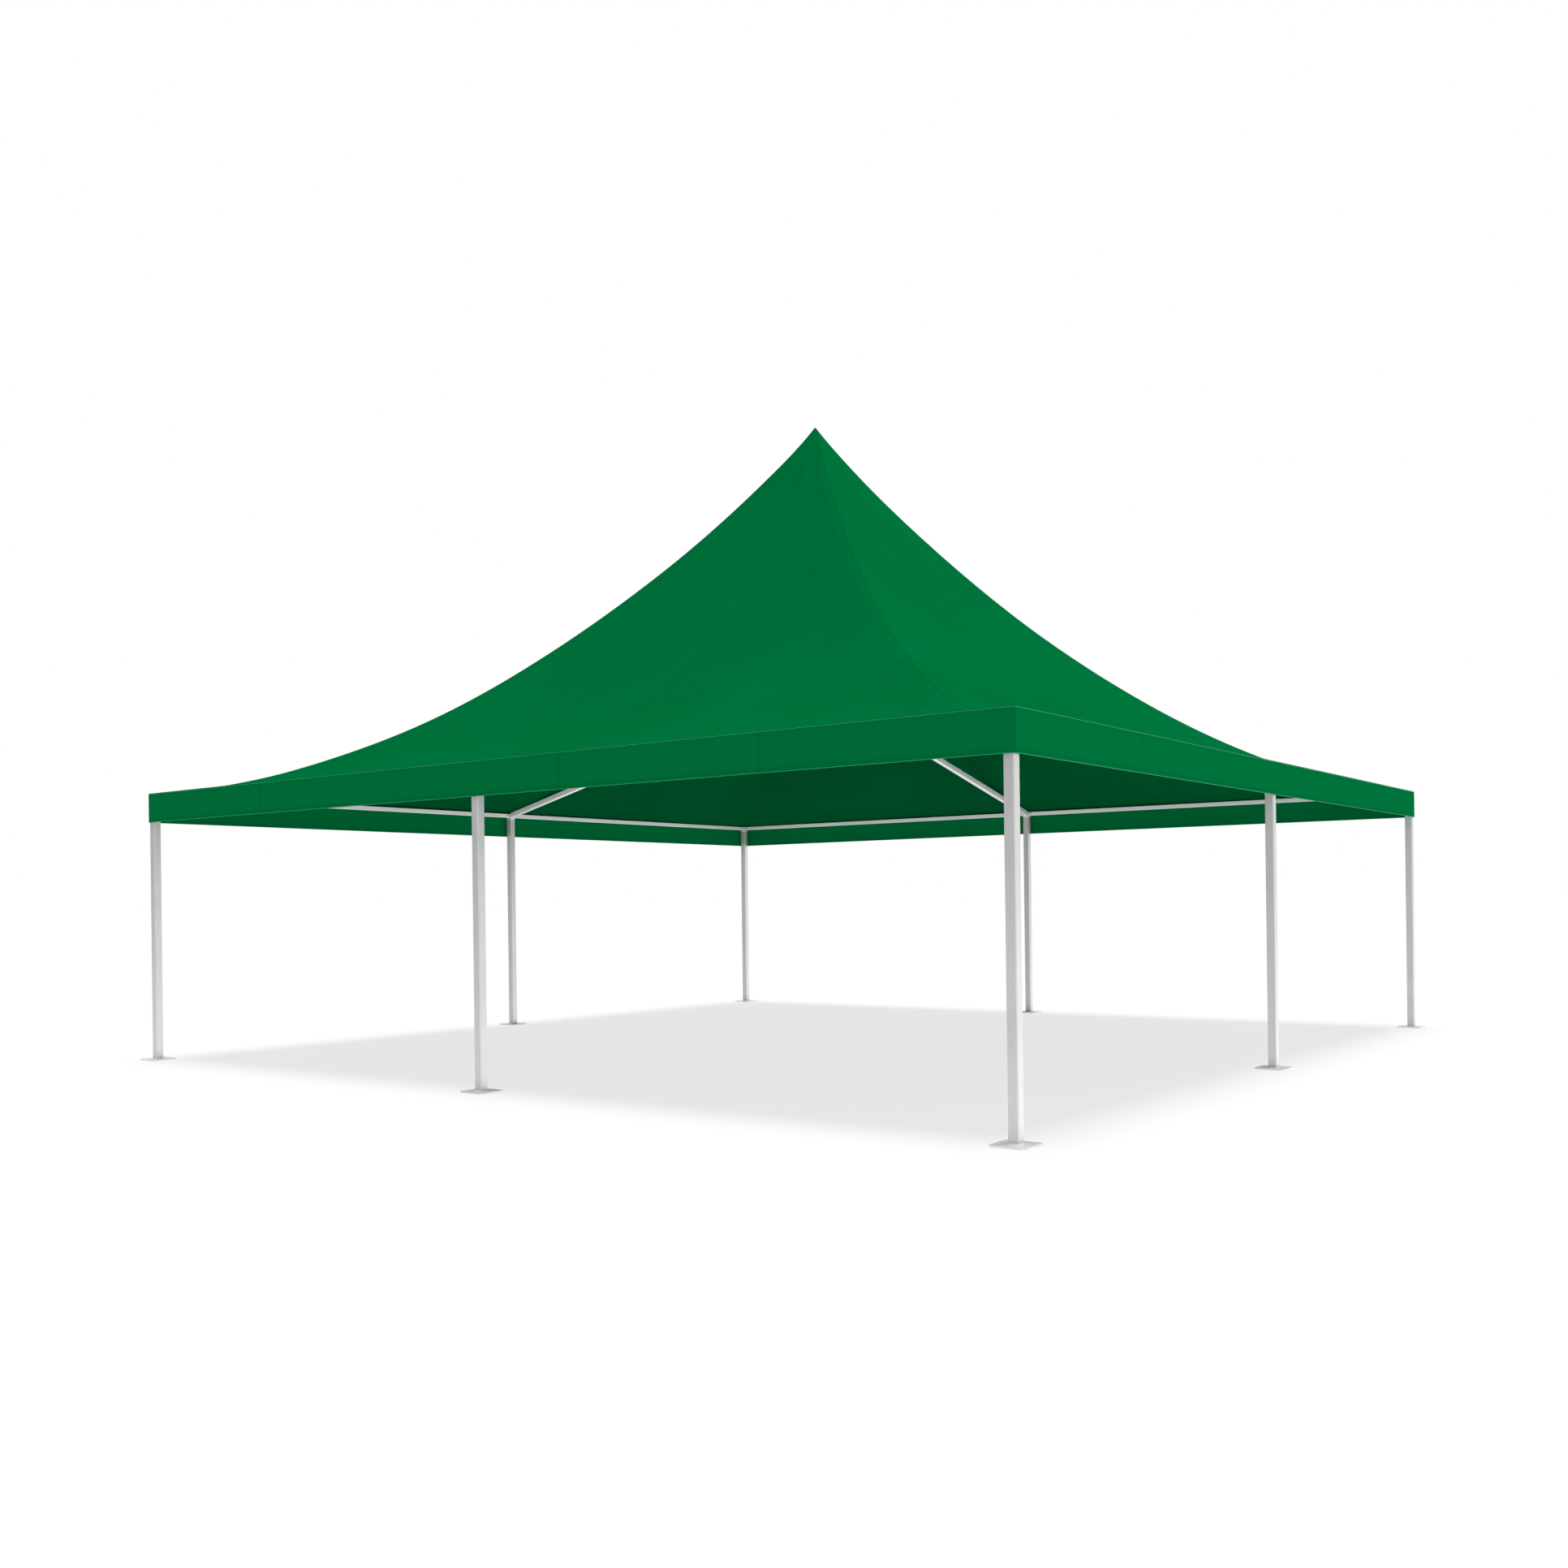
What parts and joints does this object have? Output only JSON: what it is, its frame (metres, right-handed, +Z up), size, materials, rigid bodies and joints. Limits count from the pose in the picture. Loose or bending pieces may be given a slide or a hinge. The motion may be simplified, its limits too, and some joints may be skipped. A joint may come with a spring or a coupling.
{
  "type": "marquee tent",
  "caption": "Open-sided square marquee tent with a steep concave peaked cover, a plain valance, square tube legs on base plates, perimeter beams, rafters and a king mast.",
  "frame": {"origin": "centre of the plan, on the ground under the base plates", "axes": "+Z up along the king mast, -Y towards the front side, +X towards the right side"},
  "size_m": [9.14, 9.14, 6.1043],
  "materials": {
    "frame": "satin anodised square tube",
    "joint": "cast, lightly blasted",
    "plate": "galvanised",
    "cover": "green PVC-coated polyester, satin"
  },
  "bodies": {
    "root": {"base_plate_front_left": "plate", "base_plate_front": "plate", "base_plate_front_right": "plate", "base_plate_right": "plate", "base_plate_back_right": "plate", "base_plate_back": "plate", "base_plate_back_left": "plate", "base_plate_left": "plate", "leg_front_left": "frame", "leg_front": "frame", "leg_front_right": "frame", "leg_right": "frame", "leg_back_right": "frame", "leg_back": "frame", "leg_back_left": "frame", "leg_left": "frame", "corner_joint_front_left": "joint", "corner_joint_front_right": "joint", "corner_joint_back_right": "joint", "corner_joint_back_left": "joint", "side_joint_front": "joint", "side_joint_right": "joint", "side_joint_back": "joint", "side_joint_left": "joint", "beam_front_left": "frame", "beam_front_right": "frame", "beam_right_front": "frame", "beam_right_back": "frame", "beam_back_right": "frame", "beam_back_left": "frame", "beam_left_back": "frame", "beam_left_front": "frame", "rafter_front": "frame", "rafter_right": "frame", "rafter_back": "frame", "rafter_left": "frame", "king_mast": "frame", "roof_panel_front": "cover", "roof_panel_right": "cover", "roof_panel_back": "cover", "roof_panel_left": "cover", "valance_front": "cover", "valance_right": "cover", "valance_back": "cover", "valance_left": "cover"}
  },
  "joints": []
}
